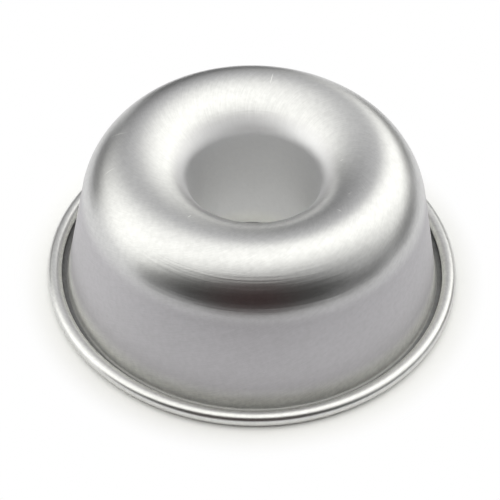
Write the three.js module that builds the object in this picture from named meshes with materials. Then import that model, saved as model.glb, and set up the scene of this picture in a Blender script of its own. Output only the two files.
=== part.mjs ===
// Small ring-shaped cake pan, stood mouth down on its rolled rim.
// One disc of aluminium is drawn into a tapered wall, a round crown and a central tube that lets hot air
// through the middle of the cake. The edge of the disc is turned out and rolled around a stiffening wire.
// Millimetres, +Z up, origin on the axis in the plane that the rim stands on.

import * as THREE from 'three';

// Driving dimensions, measured on the face that shows when the pan stands mouth down.
const RIM_DIAMETER = 110;
const HEIGHT = 42;
const SHEET = 0.8;

// The wall leans in from the rim to the shoulder. The rim stands out past the wall's foot by the overhang, which
// is taken in the rim plane.
const RIM_OVERHANG = 5.2;
const WALL_LEAN = THREE.MathUtils.degToRad(11);

// The crown is highest on the crest circle, which lies inside the wall by the shoulder's reach. Each depth is the
// drop from there to the straight part beside it.
const SHOULDER_REACH = 10.6;
const SHOULDER_DEPTH = 14;
const LIP_DEPTH = 10;

// How far each round reaches towards the corner that it fills: 0 is a straight bevel, 0.55 close to an ellipse.
const SHOULDER_FULLNESS = 0.53;
const LIP_FULLNESS = 0.44;

// The tube narrows towards the rim and stops short of it, so that the pan stands on the rim alone.
const THROAT_DIAMETER = 34.4;
const TUBE_LEAN = THREE.MathUtils.degToRad(4);
const TUBE_END_HEIGHT = 2;

// The wall's foot bends tightly into a flat flange, which runs out to the roll.
const FOOT_RADIUS = 0.8;
const ROLL_DIAMETER = 3.76;
const ROLL_TURN = THREE.MathUtils.degToRad(288);
const WIRE_CLEARANCE = 0.3;

// Facets.
const TURN_STEPS = 60;
const CROWN_STEPS = 8;
const FOOT_STEPS = 5;
const ROLL_STEPS = 16;
const WIRE_STEPS = 8;

// The roll lies on the rim plane and its outermost point is the rim.
const ROLL_RADIUS = ROLL_DIAMETER / 2;
const rollCentre = new THREE.Vector2(RIM_DIAMETER / 2 - ROLL_RADIUS, ROLL_RADIUS);

// Straight faces of the tube and the wall: radius at a given height.
const throatHeight = HEIGHT - LIP_DEPTH;
const tubeAt = (z) => new THREE.Vector2(THROAT_DIAMETER / 2 + (z - throatHeight) * Math.tan(TUBE_LEAN), z);
const wallAt = (z) => new THREE.Vector2(RIM_DIAMETER / 2 - RIM_OVERHANG - z * Math.tan(WALL_LEAN), z);

// A round between two straights that would meet at a corner.
function round(start, corner, end, fullness) {
  const startHandle = start.clone().lerp(corner, fullness);
  const endHandle = end.clone().lerp(corner, fullness);
  return new THREE.CubicBezierCurve(start, startHandle, endHandle, end);
}

function circleArc(centre, radius, startAngle, endAngle) {
  const clockwise = endAngle < startAngle;
  return new THREE.EllipseCurve(centre.x, centre.y, radius, radius, startAngle, endAngle, clockwise);
}

// The showing face of the sheet as one run of tangent curves, from the tube's end over the crown to the
// rolled edge, each with its number of facets.
function sheetFace() {
  const tubeEnd = tubeAt(TUBE_END_HEIGHT);
  const throat = tubeAt(throatHeight);
  const crest = new THREE.Vector2(wallAt(HEIGHT).x - SHOULDER_REACH, HEIGHT);
  const wallTop = wallAt(HEIGHT - SHOULDER_DEPTH);

  // The foot is a round in the corner between wall and flange.
  const corner = wallAt(SHEET);
  const footTurn = Math.PI / 2 - WALL_LEAN;
  const flangeStart = new THREE.Vector2(corner.x + FOOT_RADIUS * Math.tan(footTurn / 2), SHEET);
  const flangeEnd = new THREE.Vector2(rollCentre.x, SHEET);
  const footCentre = new THREE.Vector2(flangeStart.x, SHEET + FOOT_RADIUS);
  const foot = circleArc(footCentre, FOOT_RADIUS, Math.PI + WALL_LEAN, 1.5 * Math.PI);
  const wallFoot = foot.getPoint(0);

  const rollStart = -Math.PI / 2;
  return [
    [new THREE.LineCurve(tubeEnd, throat), 1],
    [round(throat, tubeAt(HEIGHT), crest, LIP_FULLNESS), CROWN_STEPS],
    [round(crest, wallAt(HEIGHT), wallTop, SHOULDER_FULLNESS), CROWN_STEPS],
    [new THREE.LineCurve(wallTop, wallFoot), 1],
    [foot, FOOT_STEPS],
    [new THREE.LineCurve(flangeStart, flangeEnd), 1],
    [circleArc(rollCentre, ROLL_RADIUS - SHEET, rollStart, rollStart + ROLL_TURN), ROLL_STEPS],
  ];
}

// Closed section of the sheet: the showing face, then the food face one sheet thickness behind it.
function sheetSection(curves) {
  const showing = [];
  const food = [];
  const addPoint = (curve, t) => {
    const point = curve.getPoint(t);
    const along = curve.getTangent(t);
    showing.push(point);
    food.push(new THREE.Vector2(point.x + along.y * SHEET, point.y - along.x * SHEET));
  };
  for (const [curve, steps] of curves) {
    for (let step = 0; step < steps; step += 1) addPoint(curve, step / steps);
  }
  const [lastCurve] = curves.at(-1);
  addPoint(lastCurve, 1);
  return [...food, ...showing.reverse(), food[0].clone()];
}

function wireSection() {
  const wireRadius = ROLL_RADIUS - SHEET - WIRE_CLEARANCE;
  return circleArc(rollCentre, wireRadius, 0, 2 * Math.PI).getPoints(WIRE_STEPS);
}

// Turns a closed section about the axis and stands it up along +Z.
function turned(name, section, material) {
  const geometry = new THREE.LatheGeometry(section, TURN_STEPS);
  geometry.rotateX(Math.PI / 2);
  const mesh = new THREE.Mesh(geometry, material);
  mesh.name = name;
  return mesh;
}

const satinAluminium = new THREE.MeshStandardMaterial({ color: 0xc8c8c6, roughness: 0.35, metalness: 1 });
const wireAluminium = new THREE.MeshStandardMaterial({ color: 0xb4b5b6, roughness: 0.45, metalness: 1 });

const cakePan = new THREE.Group();
cakePan.add(turned('pan_shell', sheetSection(sheetFace()), satinAluminium));
cakePan.add(turned('rim_wire', wireSection(), wireAluminium));

export default cakePan;
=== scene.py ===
"""Looks of a small ring cake pan, stood mouth down on its rolled rim on a pale studio floor.

The real pan is drawn from one sheet of aluminium, so it is modelled as one section line that is spun about
the pan's axis and then given the sheet's thickness. Metres, +Z up, origin on the axis in the plane of
the rim.
"""

import math

import bpy
from mathutils import Matrix, Vector
from mathutils.geometry import interpolate_bezier


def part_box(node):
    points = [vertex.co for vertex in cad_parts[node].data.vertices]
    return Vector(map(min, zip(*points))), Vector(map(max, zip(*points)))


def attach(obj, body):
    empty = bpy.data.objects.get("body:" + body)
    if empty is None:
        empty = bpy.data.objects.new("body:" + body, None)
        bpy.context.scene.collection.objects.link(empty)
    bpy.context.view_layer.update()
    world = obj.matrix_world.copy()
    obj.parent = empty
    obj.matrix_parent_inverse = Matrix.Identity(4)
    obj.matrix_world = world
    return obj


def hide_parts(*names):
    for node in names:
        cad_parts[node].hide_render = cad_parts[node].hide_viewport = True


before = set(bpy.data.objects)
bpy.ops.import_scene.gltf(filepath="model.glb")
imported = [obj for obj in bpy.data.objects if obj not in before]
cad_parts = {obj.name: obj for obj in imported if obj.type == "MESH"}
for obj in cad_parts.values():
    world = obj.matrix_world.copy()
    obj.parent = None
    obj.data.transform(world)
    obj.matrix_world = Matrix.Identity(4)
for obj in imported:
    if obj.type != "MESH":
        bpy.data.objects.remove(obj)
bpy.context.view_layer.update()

MM = 0.001

# Overall sizes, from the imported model.
RIM_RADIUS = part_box("pan_shell")[1].x
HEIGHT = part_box("pan_shell")[1].z

# The sheet, and the section that it is drawn to. Lengths are measured on the face that shows.
SHEET = 0.8 * MM
RIM_OVERHANG = 5.2 * MM
WALL_LEAN = math.radians(11)
SHOULDER_REACH = 10.6 * MM
SHOULDER_DEPTH = 14 * MM
SHOULDER_FULLNESS = 0.53
LIP_DEPTH = 10 * MM
LIP_FULLNESS = 0.44
THROAT_RADIUS = 17.2 * MM
TUBE_LEAN = math.radians(4)
TUBE_END_HEIGHT = 2 * MM
FOOT_RADIUS = 0.8 * MM
ROLL_RADIUS = 1.88 * MM
ROLL_TURN = math.radians(288)
WIRE_CLEARANCE = 0.3 * MM
WIRE_BUTT_GAP = 0.4 * MM
SHEARED_EDGE = 0.12 * MM

# Facets of the finished meshes, and the angles past which an edge is sharp or was sheared.
TURN_STEPS = 240
STRAIGHT_STEPS = 4
ROUND_STEPS = 28
FOOT_STEPS = 10
ROLL_STEPS = 36
WIRE_SIDES = 16
SAME_POINT = 0.001 * MM
SHARP_ANGLE = math.radians(40)
SHEARED_ANGLE = math.radians(60)

# The camera of the photograph: a long lens that looks down at the pan, turned slightly about its own axis.
CAMERA_TARGET = Vector((-0.66 * MM, 0, 6.5 * MM))
CAMERA_DISTANCE = 412.5 * MM
CAMERA_ELEVATION = math.radians(46.1)
CAMERA_ROLL = math.radians(1.39)
SENSOR_WIDTH = 36
LENS = 110.7
NEAREST_SEEN = 10 * MM

# Where the finishes meet. Each pair runs from where a finish starts to where it is full, as heights above
# the rim plane for a rise or a drop, and as radii for a reach.
CROWN_RISE = (26 * MM, 32 * MM)
CROWN_REACH = (18 * MM, 22 * MM)
RIM_REACH = (51.4 * MM, 51.9 * MM)
# The foot's pair also marks where the low wall is painted pale, a painted light by the roll.
FOOT_DROP = (8 * MM, 3 * MM)
# These two mark where the hollow behind the roll is painted dark, a painted shade, not a finish.
GROOVE_SHADE_REACH = (49.4 * MM, 50.2 * MM)
GROOVE_SHADE_DROP = (2.2 * MM, 1.6 * MM)
DRAW_LINES_DROP = (40 * MM, 38 * MM)

# Marks of the finish: how far apart those of each kind lie, and how long they run. The hairlines' spacing
# holds on the crest, and their slant is how far they run round the pan for each step down it.
CREST_RADIUS = 31 * MM
LINE_SPACING = 0.5 * MM
LINE_LENGTH = 18 * MM
HAIRLINE_SPACING = 0.22 * MM
HAIRLINE_LENGTH = 2 * MM
HAIRLINE_SLANT = 1.2
MOTTLE_SIZE = 1.2 * MM
WAVE_SIZE = 12 * MM
WIRE_STREAK_SPACING = 0.15 * MM
WIRE_STREAK_LENGTH = 30 * MM

# Scratches from handling, from end to end, in millimetres. The depth lets a straight one cut a curved face.
SCRATCH_WIDTH = 0.14 * MM
SCRATCH_DEPTH = 1.5 * MM
SCRATCHES = [
    ((-37.5, 7.5, 38.5), (-32, 6.5, 42)),
    ((-38, -6.5, 38.5), (-34.5, -5.5, 41)),
    ((4.5, 32, 42), (3.5, 27, 41.5)),
    ((23, -13.5, 41), (24, -13, 41.5)),
    ((20, -19, 41.5), (21.5, -20.5, 42)),
    ((21.5, 1.5, 38.5), (22.5, 1.5, 39)),
    ((-16, -23.5, 41.5), (-15, -22, 41)),
]

# The floor, and how far from the axis the pan's shadow is still seen on it.
PAPER = "FAFAF9"
FLOOR_SIZE = 8
SHADOW_REACH = 64 * MM

# Cards that darken what the pan mirrors. A black one is held up in front, brown in its middle and narrower
# towards its top. Low grey ones stand about the pan, each with its azimuth in degrees and its width.
BLACK_CARD = "323232"
BROWN_MIDDLE = "341A1C"
FRONT_CARD_MIDDLE = (0.0, -0.12, 0.054)
FRONT_CARD_SIZE = (0.62, 0.115)
FRONT_CARD_TAPER = 0.35
GREY_CARD = "7C7C7E"
LOW_CARD_DISTANCE = 0.15
LOW_CARD_MIDDLE = 0.02
LOW_CARD_HEIGHT = 0.056
LOW_CARD_WIDTHS = {60: 0.17, 100: 0.17, 140: 0.17, 190: 0.17, 236: 0.16, 310: 0.09}

# The light tent of white cloth. Each opening has the direction of its middle seen from the pan, its half
# widths along the axes, the share of them that is fully open, and the colour of the room behind it.
# The level multiplies the cloth's colour and the room's.
TENT_LEVEL = 1.8
TENT_CLOTH = "FFFFFB"
TENT_OPENINGS = [
    ((0.27, -0.82, -0.5), (1.7, 1.75, 1.65), 0.64, "959595"),
    ((-0.18, 0.76, 0.58), (0.9, 1.55, 0.7), 0.25, "A6A6A7"),
    ((-0.3, 0.8, -0.46), (1.1, 1.55, 1.3), 0.37, "525254"),
]


def linear(hex_colour):
    """An sRGB colour such as C8C8C6 as the linear RGBA that a shader takes."""
    channels = [int(hex_colour[i:i + 2], 16) / 255 for i in (0, 2, 4)]
    return [c / 12.92 if c <= 0.04045 else ((c + 0.055) / 1.055) ** 2.4 for c in channels] + [1]


def add_node(tree, kind, inputs=None, **settings):
    """Adds a node with its settings and links, and returns the first of its outputs that is in use.

    An input is named by its label, or by its place among the inputs in use. It takes a value or another
    node's output.
    """
    node = tree.nodes.new(kind)
    for name, value in settings.items():
        setattr(node, name, value)
    sockets = [socket for socket in node.inputs if socket.enabled]
    labels = [socket.name for socket in sockets]
    for key, value in (inputs or {}).items():
        socket = sockets[key if isinstance(key, int) else labels.index(key)]
        if isinstance(value, bpy.types.NodeSocket):
            tree.links.new(value, socket)
        else:
            socket.default_value = value
    return next((output for output in node.outputs if output.enabled), None)


def empty_material(name):
    """A material with no nodes, and the tree to fill."""
    material = bpy.data.materials.new(name)
    material.use_nodes = True
    material.node_tree.nodes.clear()
    return material, material.node_tree


def lines_round_axis(tree, place, spacing, length):
    """A pattern of fine lines that run round the pan's axis, each fading out after some length."""
    x, y, z = add_node(tree, "ShaderNodeSeparateXYZ", {0: place}).node.outputs
    flat_place = add_node(tree, "ShaderNodeCombineXYZ", {"X": x, "Y": y})
    radius = add_node(tree, "ShaderNodeVectorMath", {0: flat_place}, operation="LENGTH")
    along = add_node(tree, "ShaderNodeVectorMath", {
        0: flat_place, "Scale": spacing / length}, operation="SCALE")
    slow_x, slow_y, _ = add_node(tree, "ShaderNodeSeparateXYZ", {0: along}).node.outputs
    across = add_node(tree, "ShaderNodeCombineXYZ", {"X": radius, "Y": z, "Z": slow_x})
    return add_node(tree, "ShaderNodeTexNoise", {
        "Vector": across, "W": slow_y, "Scale": 1 / spacing, "Detail": 2.0, "Roughness": 0.6,
    }, noise_dimensions="4D")


def pad_hairlines(tree, flat_place, down):
    """A pattern of short hairlines, aslant across the crown, as an abrasive pad leaves them.

    Real ones are about 0.05 mm apart and are drawn coarser, so that they show.
    """
    outward = add_node(tree, "ShaderNodeVectorMath", {0: flat_place}, operation="NORMALIZE")
    slant = add_node(tree, "ShaderNodeMath", {
        0: down, 1: HAIRLINE_SLANT / CREST_RADIUS}, operation="MULTIPLY")
    slanted = add_node(tree, "ShaderNodeVectorRotate", {
        "Vector": outward, "Angle": slant}, rotation_type="Z_AXIS")
    turns = CREST_RADIUS / HAIRLINE_SPACING
    run = add_node(tree, "ShaderNodeMath", {0: down, 1: 1 / (turns * HAIRLINE_LENGTH)}, operation="MULTIPLY")
    return add_node(tree, "ShaderNodeTexNoise", {
        "Vector": slanted, "W": run, "Scale": turns, "Detail": 1.0}, noise_dimensions="4D")


def scratch_marks(tree, place):
    """1 in the scratches and 0 beside them. Each is a thin ellipsoid laid through the surface."""
    scratched = 0.0
    for ends in SCRATCHES:
        start, end = [Vector(point) * MM for point in ends]
        along = add_node(tree, "ShaderNodeMapping", {
            "Vector": place,
            "Location": (start + end) / 2,
            "Rotation": (end - start).to_track_quat("X", "Z").to_euler(),
            "Scale": ((end - start).length / 2, SCRATCH_WIDTH, SCRATCH_DEPTH),
        }, vector_type="TEXTURE")
        away = add_node(tree, "ShaderNodeVectorMath", {0: along}, operation="LENGTH")
        mark = add_node(tree, "ShaderNodeMapRange", {
            "Value": away, "From Min": 1.0, "From Max": 0.4}, interpolation_type="SMOOTHSTEP")
        scratched = add_node(tree, "ShaderNodeMath", {0: scratched, 1: mark}, operation="MAXIMUM")
    return scratched


def satin_aluminium():
    """Satin aluminium: sheet drawn in a press, then rubbed with an abrasive pad. A soft grey mirror.

    The crown and the rim are rubbed brightest, the crown with short hairlines across it. The wall and the
    tube keep the duller skin of the press. The tube's coat is painted paler than the wall's, a painted light
    that lifts the shaded inside of the tube. The wall's foot is painted pale, a painted light in the corner
    by the roll, and the hollow behind the roll is painted dark, a painted shade. The eye sees reflections
    with furry edges, fine lines round the shoulder, a faint mottle and a few scratches.
    """
    material, tree = empty_material("satin_aluminium")
    place = add_node(tree, "ShaderNodeTexCoord").node.outputs["Object"]
    x, y, z = add_node(tree, "ShaderNodeSeparateXYZ", {0: place}).node.outputs
    flat_place = add_node(tree, "ShaderNodeCombineXYZ", {"X": x, "Y": y})
    radius = add_node(tree, "ShaderNodeVectorMath", {0: flat_place}, operation="LENGTH")

    # A measure that grows on the way from the throat over the crown and down to the rim.
    down = add_node(tree, "ShaderNodeMath", {0: radius, 1: z}, operation="SUBTRACT")

    # Where each finish lies, from 0 to 1. The foot's zone and the hollow behind the roll also carry
    # painted light and painted shade.
    limits = (
        (z, CROWN_RISE), (radius, CROWN_REACH), (radius, RIM_REACH),
        (z, FOOT_DROP), (radius, GROOVE_SHADE_REACH), (z, GROOVE_SHADE_DROP),
    )
    above_wall, outside_tube, rim, foot, past_wall, on_flange = [
        add_node(tree, "ShaderNodeMapRange", {
            "Value": measure, "From Min": start, "From Max": full}, interpolation_type="SMOOTHSTEP")
        for measure, (start, full) in limits
    ]
    crown = add_node(tree, "ShaderNodeMath", {0: above_wall, 1: outside_tube}, operation="MULTIPLY")
    # Painted shade: the flange in the hollow behind the roll is painted dark.
    groove_shade = add_node(tree, "ShaderNodeMath", {0: past_wall, 1: on_flange}, operation="MULTIPLY")

    # The marks. All but the scratches are patterns that swing about 0.5.
    lines = lines_round_axis(tree, place, LINE_SPACING, LINE_LENGTH)
    hairlines = pad_hairlines(tree, flat_place, down)
    mottle = add_node(tree, "ShaderNodeTexNoise", {
        "Vector": place, "Scale": 1 / MOTTLE_SIZE, "Detail": 3.0, "Roughness": 0.6})
    waves = add_node(tree, "ShaderNodeTexNoise", {"Vector": place, "Scale": 1 / WAVE_SIZE, "Detail": 1.0})
    scratched = scratch_marks(tree, place)

    # Roughness: the wall's, each other zone's, then what the marks add and take.
    roughness = 0.5
    for zone, zone_roughness in ((crown, 0.305), (foot, 0.65), (rim, 0.32)):
        roughness = add_node(tree, "ShaderNodeMix", {"Factor": zone, "A": roughness, "B": zone_roughness})
    for mark, reach, swing in ((hairlines, crown, 0.015), (lines, 1.0, 0.005), (mottle, 1.0, 0.008)):
        change = add_node(tree, "ShaderNodeMapRange", {
            "Value": mark, "From Min": 0.25, "From Max": 0.75, "To Min": -swing, "To Max": swing})
        roughness = add_node(tree, "ShaderNodeMath", {
            0: change, 1: reach, 2: roughness}, operation="MULTIPLY_ADD")
    roughness = add_node(tree, "ShaderNodeMix", {"Factor": scratched, "A": roughness, "B": 0.55})

    # Colour: the tube's, each other zone's over it, the grime in the marks and bare metal in the scratches.
    # The tube's paler coat and the foot's pale coat are painted light, and the dark coat behind the roll is
    # painted shade.
    grime = add_node(tree, "ShaderNodeMath", {0: mottle, 1: hairlines}, operation="ADD")
    darkest = add_node(tree, "ShaderNodeMapRange", {"Value": outside_tube, "To Min": 0.06, "To Max": 0.3})
    grime = add_node(tree, "ShaderNodeMapRange", {
        "Value": grime, "From Min": 0.75, "From Max": 1.25, "To Max": darkest})
    coats_and_painted_light = (
        # The foot's pale coat is painted light, brightening the low wall in the corner by the roll.
        (outside_tube, "C4C2C5"), (foot, "F4F4F1"), (groove_shade, "787878"), (crown, "D5D5D4"),
        (rim, "DEDEDC"), (grime, "A6A6A6"), (scratched, "F0F0EE"),
    )
    # The tube's coat, paler than the wall's, is a painted light that lifts the shaded inside of the tube.
    colour = linear("E6E6E7")
    for zone, zone_colour in coats_and_painted_light:
        colour = add_node(tree, "ShaderNodeMix", {
            "Factor": zone, "A": colour, "B": linear(zone_colour)}, data_type="RGBA")

    # Relief, in millimetres of height. The press draws its deepest lines round the shoulder.
    highest, deepest = DRAW_LINES_DROP
    drawn = add_node(tree, "ShaderNodeMapRange", {
        "Value": z, "From Min": highest, "From Max": deepest, "To Min": 0.2, "To Max": 1.0})
    drawn = add_node(tree, "ShaderNodeMath", {0: drawn, 1: lines}, operation="MULTIPLY")
    drawn = add_node(tree, "ShaderNodeMath", {0: drawn, 1: crown}, operation="MULTIPLY")
    rubbed = add_node(tree, "ShaderNodeMath", {0: hairlines, 1: crown}, operation="MULTIPLY")
    height = 0.0
    for mark, depth in ((drawn, 0.03), (lines, 0.001), (rubbed, 0.01), (mottle, 0.002), (waves, 0.02)):
        height = add_node(tree, "ShaderNodeMath", {0: mark, 1: depth, 2: height}, operation="MULTIPLY_ADD")
    relief = add_node(tree, "ShaderNodeBump", {"Height": height, "Distance": MM})

    shader = add_node(tree, "ShaderNodeBsdfPrincipled", {
        "Base Color": colour, "Metallic": 1.0, "Roughness": roughness, "Normal": relief})
    add_node(tree, "ShaderNodeOutputMaterial", {"Surface": shader})
    return material


def drawn_wire():
    """Aluminium wire, pulled through a die: duller than the sheet, with fine streaks along its length."""
    material, tree = empty_material("drawn_wire")
    place = add_node(tree, "ShaderNodeTexCoord").node.outputs["Object"]
    streaks = lines_round_axis(tree, place, WIRE_STREAK_SPACING, WIRE_STREAK_LENGTH)
    colour = add_node(tree, "ShaderNodeMix", {
        "Factor": streaks, "A": linear("A4A5A6"), "B": linear("C2C3C4")}, data_type="RGBA")
    roughness = add_node(tree, "ShaderNodeMapRange", {"Value": streaks, "To Min": 0.35, "To Max": 0.55})
    shader = add_node(tree, "ShaderNodeBsdfPrincipled", {
        "Base Color": colour, "Metallic": 1.0, "Roughness": roughness})
    add_node(tree, "ShaderNodeOutputMaterial", {"Surface": shader})
    return material


def section_point(radius, height):
    """A point of the turned section, in the XZ plane."""
    return Vector((radius, 0, height))


def straight(start, end, steps):
    return [start.lerp(end, step / steps) for step in range(steps + 1)]


def rounded(start, corner, end, fullness, steps):
    """A round between two straights that would meet at a corner."""
    return interpolate_bezier(start, start.lerp(corner, fullness), end.lerp(corner, fullness), end, steps + 1)


def arc(centre, radius, start_angle, turn, steps):
    angles = [start_angle + turn * step / steps for step in range(steps + 1)]
    return [centre + radius * section_point(math.cos(a), math.sin(a)) for a in angles]


def tube_at(height):
    """The tube's straight face at some height. It narrows towards the rim."""
    throat_height = HEIGHT - LIP_DEPTH
    return section_point(THROAT_RADIUS + (height - throat_height) * math.tan(TUBE_LEAN), height)


def wall_at(height):
    """The wall's straight face at some height. It leans in from the rim."""
    return section_point(RIM_RADIUS - RIM_OVERHANG - height * math.tan(WALL_LEAN), height)


# The roll lies on the rim plane, and its outermost point is the rim.
ROLL_CENTRE = section_point(RIM_RADIUS - ROLL_RADIUS, ROLL_RADIUS)


def shell_section():
    """The face of the sheet that shows: up the tube, over the crown, down the wall and into the roll."""
    throat = tube_at(HEIGHT - LIP_DEPTH)
    crest = section_point(wall_at(HEIGHT).x - SHOULDER_REACH, HEIGHT)
    wall_top = wall_at(HEIGHT - SHOULDER_DEPTH)
    flange_end = section_point(ROLL_CENTRE.x, SHEET)

    # The foot is a tight round in the corner between wall and flange.
    foot_turn = math.pi / 2 - WALL_LEAN
    flange_start = section_point(wall_at(SHEET).x + FOOT_RADIUS * math.tan(foot_turn / 2), SHEET)
    foot_centre = section_point(flange_start.x, SHEET + FOOT_RADIUS)
    foot = arc(foot_centre, FOOT_RADIUS, math.pi + WALL_LEAN, foot_turn, FOOT_STEPS)

    runs = [
        straight(tube_at(TUBE_END_HEIGHT), throat, STRAIGHT_STEPS),
        rounded(throat, tube_at(HEIGHT), crest, LIP_FULLNESS, ROUND_STEPS),
        rounded(crest, wall_at(HEIGHT), wall_top, SHOULDER_FULLNESS, ROUND_STEPS),
        straight(wall_top, foot[0], STRAIGHT_STEPS),
        foot,
        straight(flange_start, flange_end, 1),
        arc(ROLL_CENTRE, ROLL_RADIUS - SHEET, -math.pi / 2, ROLL_TURN, ROLL_STEPS),
    ]
    points = [runs[0][0]]
    for run in runs:
        points.extend(run[1:])
    return points


def apply_modifier(piece, kind, **settings):
    modifier = piece.modifiers.new(kind.title(), kind)
    for name, value in settings.items():
        setattr(modifier, name, value)
    bpy.ops.object.modifier_apply(modifier=modifier.name)


def finish_piece(piece, name, material, node):
    """Names a piece, dresses it and lets it stand for its CAD node."""
    piece.name = name
    piece.data.name = name
    piece.data.materials.clear()
    piece.data.materials.append(material)
    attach(piece, "root")
    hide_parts(node)


def model_shell():
    """The section is extruded point by point, spun into the showing face and thickened to the sheet."""
    section = shell_section()
    bpy.ops.object.select_all(action="DESELECT")
    bpy.ops.mesh.primitive_plane_add(size=SHEET)
    shell = bpy.context.object
    bpy.ops.object.mode_set(mode="EDIT")
    bpy.ops.mesh.merge(type="CENTER")
    bpy.ops.transform.translate(value=section[0])
    for last, point in zip(section, section[1:]):
        bpy.ops.mesh.extrude_vertices_move(TRANSFORM_OT_translate={"value": point - last})
    bpy.ops.mesh.select_all(action="SELECT")
    bpy.ops.mesh.spin(steps=TURN_STEPS, angle=math.tau, center=(0, 0, 0), axis=(0, 0, 1))
    bpy.ops.mesh.select_all(action="SELECT")
    bpy.ops.mesh.remove_doubles(threshold=SAME_POINT)
    bpy.ops.mesh.normals_make_consistent(inside=False)
    bpy.ops.object.mode_set(mode="OBJECT")

    # The showing face points up along the crest.
    crest_face = max(shell.data.polygons, key=lambda face: face.center.z)
    if crest_face.normal.z < 0:
        bpy.ops.object.mode_set(mode="EDIT")
        bpy.ops.mesh.flip_normals()
        bpy.ops.object.mode_set(mode="OBJECT")

    apply_modifier(shell, "SOLIDIFY", thickness=SHEET, offset=-1, use_even_offset=True)
    apply_modifier(shell, "BEVEL", width=SHEARED_EDGE, segments=2, limit_method="ANGLE",
                   angle_limit=SHEARED_ANGLE)
    bpy.ops.object.shade_smooth_by_angle(angle=SHARP_ANGLE)
    return shell


def model_wire():
    """The stiffening wire in the roll: a round bar bent to a ring, its two cut ends butted."""
    wire_radius = ROLL_RADIUS - SHEET - WIRE_CLEARANCE
    bpy.ops.object.select_all(action="DESELECT")
    bpy.ops.mesh.primitive_circle_add(vertices=WIRE_SIDES, radius=wire_radius, rotation=(math.pi / 2, 0, 0),
                                      location=ROLL_CENTRE)
    wire = bpy.context.object
    bpy.ops.object.transform_apply(location=True, rotation=True, scale=True)
    bpy.ops.object.mode_set(mode="EDIT")
    bpy.ops.mesh.select_all(action="SELECT")
    ring_turn = math.tau - WIRE_BUTT_GAP / ROLL_CENTRE.x
    bpy.ops.mesh.spin(steps=TURN_STEPS, angle=ring_turn, center=(0, 0, 0), axis=(0, 0, 1))
    bpy.ops.mesh.select_all(action="SELECT")
    bpy.ops.mesh.fill_holes(sides=WIRE_SIDES)
    bpy.ops.mesh.normals_make_consistent(inside=False)
    bpy.ops.object.mode_set(mode="OBJECT")
    bpy.ops.object.shade_smooth_by_angle(angle=SHARP_ANGLE)
    return wire


def white_paper():
    """White paper, matt.

    Beyond the pan's shadow, what the lens and the metal see of it is lifted to white.
    """
    material, tree = empty_material("white_paper")
    path = add_node(tree, "ShaderNodeLightPath").node.outputs
    seen = add_node(tree, "ShaderNodeMath", {
        0: path["Is Camera Ray"], 1: path["Is Glossy Ray"]}, operation="MAXIMUM")
    seen = add_node(tree, "ShaderNodeMath", {0: seen, 1: path["Is Transmission Ray"]}, operation="MAXIMUM")
    place = add_node(tree, "ShaderNodeTexCoord").node.outputs["Object"]
    away = add_node(tree, "ShaderNodeVectorMath", {0: place}, operation="LENGTH")
    clear = add_node(tree, "ShaderNodeMapRange", {
        "Value": away, "From Min": RIM_RADIUS, "From Max": SHADOW_REACH}, interpolation_type="SMOOTHSTEP")
    lift = add_node(tree, "ShaderNodeMath", {0: seen, 1: clear}, operation="MULTIPLY")
    paper = add_node(tree, "ShaderNodeBsdfDiffuse", {"Color": linear(PAPER)})
    white = add_node(tree, "ShaderNodeEmission", {"Color": linear("FFFFFF"), "Strength": 1.0})
    lifted = add_node(tree, "ShaderNodeMixShader", {0: lift, 1: paper, 2: white})
    add_node(tree, "ShaderNodeOutputMaterial", {"Surface": lifted})
    return material


def soft_card(name, colour, middle_colour, taper):
    """Matt card that thins out to its edges, so that its mirror image on the metal ends softly.

    Its places are shares of its own width and height, counted from its middle. The taper is how much nearer
    to the middle it ends for each share of the height.
    """
    material, tree = empty_material(name)
    place = add_node(tree, "ShaderNodeTexCoord").node.outputs["Object"]
    across, up, _ = add_node(tree, "ShaderNodeSeparateXYZ", {0: place}).node.outputs
    aside = add_node(tree, "ShaderNodeMath", {0: across}, operation="ABSOLUTE")
    end = add_node(tree, "ShaderNodeMath", {0: up, 1: taper, 2: aside}, operation="MULTIPLY_ADD")
    edge = add_node(tree, "ShaderNodeMath", {0: up}, operation="ABSOLUTE")
    wide, high, inner = [
        add_node(tree, "ShaderNodeMapRange", {
            "Value": share, "From Min": start, "From Max": full}, interpolation_type="SMOOTHSTEP")
        for share, start, full in ((end, 0.48, 0.15), (edge, 0.5, 0.35), (aside, 0.12, 0.02))
    ]
    cover = add_node(tree, "ShaderNodeMath", {0: wide, 1: high}, operation="MULTIPLY")
    tint = add_node(tree, "ShaderNodeMix", {
        "Factor": inner, "A": linear(colour), "B": linear(middle_colour)}, data_type="RGBA")
    card = add_node(tree, "ShaderNodeBsdfDiffuse", {"Color": tint})
    air = add_node(tree, "ShaderNodeBsdfTransparent")
    shader = add_node(tree, "ShaderNodeMixShader", {0: cover, 1: air, 2: card})
    add_node(tree, "ShaderNodeOutputMaterial", {"Surface": shader})
    return material


def stand_card(name, material, middle, azimuth, size):
    """A card that faces the pan and that the lens doesn't see.

    Its azimuth is in degrees, counted from the lens's side towards +X.
    """
    bpy.ops.object.select_all(action="DESELECT")
    upright = (math.pi / 2, 0, math.radians(azimuth))
    bpy.ops.mesh.primitive_plane_add(size=1, location=middle, rotation=upright)
    card = bpy.context.object
    card.name = name
    card.scale = (*size, 1)
    card.data.materials.append(material)
    card.visible_camera = False


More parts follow.
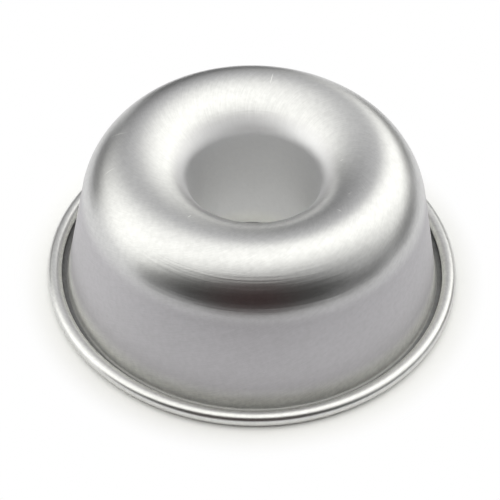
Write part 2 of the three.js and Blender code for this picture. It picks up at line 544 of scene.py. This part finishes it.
def stand_cards():
    black = soft_card("black_card", BLACK_CARD, BROWN_MIDDLE, FRONT_CARD_TAPER)
    stand_card("front_card", black, FRONT_CARD_MIDDLE, 0, FRONT_CARD_SIZE)
    grey = soft_card("grey_card", GREY_CARD, GREY_CARD, 0.0)
    for azimuth, width in LOW_CARD_WIDTHS.items():
        turn = math.radians(azimuth)
        middle = (LOW_CARD_DISTANCE * math.sin(turn), -LOW_CARD_DISTANCE * math.cos(turn), LOW_CARD_MIDDLE)
        stand_card(f"low_card_{azimuth}", grey, middle, azimuth, (width, LOW_CARD_HEIGHT))


def lay_floor():
    bpy.ops.object.select_all(action="DESELECT")
    bpy.ops.mesh.primitive_plane_add(size=FLOOR_SIZE)
    floor = bpy.context.object
    floor.name = "floor"
    floor.data.materials.append(white_paper())


def light_tent():
    """A tent of lit white cloth, open towards the lens and behind the pan, where the dim room shows."""
    world = bpy.data.worlds.new("light_tent")
    world.use_nodes = True
    tree = world.node_tree
    tree.nodes.clear()
    direction = add_node(tree, "ShaderNodeTexCoord").node.outputs["Generated"]
    seen = linear(TENT_CLOTH)
    for middle, reach, hole, room in TENT_OPENINGS:
        offset = add_node(tree, "ShaderNodeMapping", {
            "Vector": direction, "Location": middle, "Scale": reach}, vector_type="TEXTURE")
        away = add_node(tree, "ShaderNodeVectorMath", {0: offset}, operation="LENGTH")
        opened = add_node(tree, "ShaderNodeMapRange", {
            "Value": away, "From Min": 1.0, "From Max": hole}, interpolation_type="SMOOTHSTEP")
        seen = add_node(tree, "ShaderNodeMix", {
            "Factor": opened, "A": seen, "B": linear(room)}, data_type="RGBA")
    glow = add_node(tree, "ShaderNodeBackground", {"Color": seen, "Strength": TENT_LEVEL})
    add_node(tree, "ShaderNodeOutputWorld", {"Surface": glow})
    bpy.context.scene.world = world


def place_camera():
    """The camera stands back from its target along the line of sight and is rolled about that line."""
    lens = bpy.data.cameras.new("camera")
    lens.sensor_fit = "HORIZONTAL"
    lens.sensor_width = SENSOR_WIDTH
    lens.lens = LENS
    lens.clip_start = NEAREST_SEEN
    back = Vector((0, -math.cos(CAMERA_ELEVATION), math.sin(CAMERA_ELEVATION)))
    level_up = Vector((0, math.sin(CAMERA_ELEVATION), math.cos(CAMERA_ELEVATION)))
    level_right = Vector((1, 0, 0))
    right = math.cos(CAMERA_ROLL) * level_right + math.sin(CAMERA_ROLL) * level_up
    up = math.cos(CAMERA_ROLL) * level_up - math.sin(CAMERA_ROLL) * level_right
    camera = bpy.data.objects.new("camera", lens)
    turn = Matrix((right, up, back)).transposed().to_4x4()
    camera.matrix_world = Matrix.Translation(CAMERA_TARGET + CAMERA_DISTANCE * back) @ turn
    bpy.context.scene.collection.objects.link(camera)
    bpy.context.scene.camera = camera


place_camera()
finish_piece(model_shell(), "shell", satin_aluminium(), "pan_shell")
finish_piece(model_wire(), "wire_in_rim", drawn_wire(), "rim_wire")
lay_floor()
stand_cards()
light_tent()
bpy.context.scene.view_settings.view_transform = "Standard"
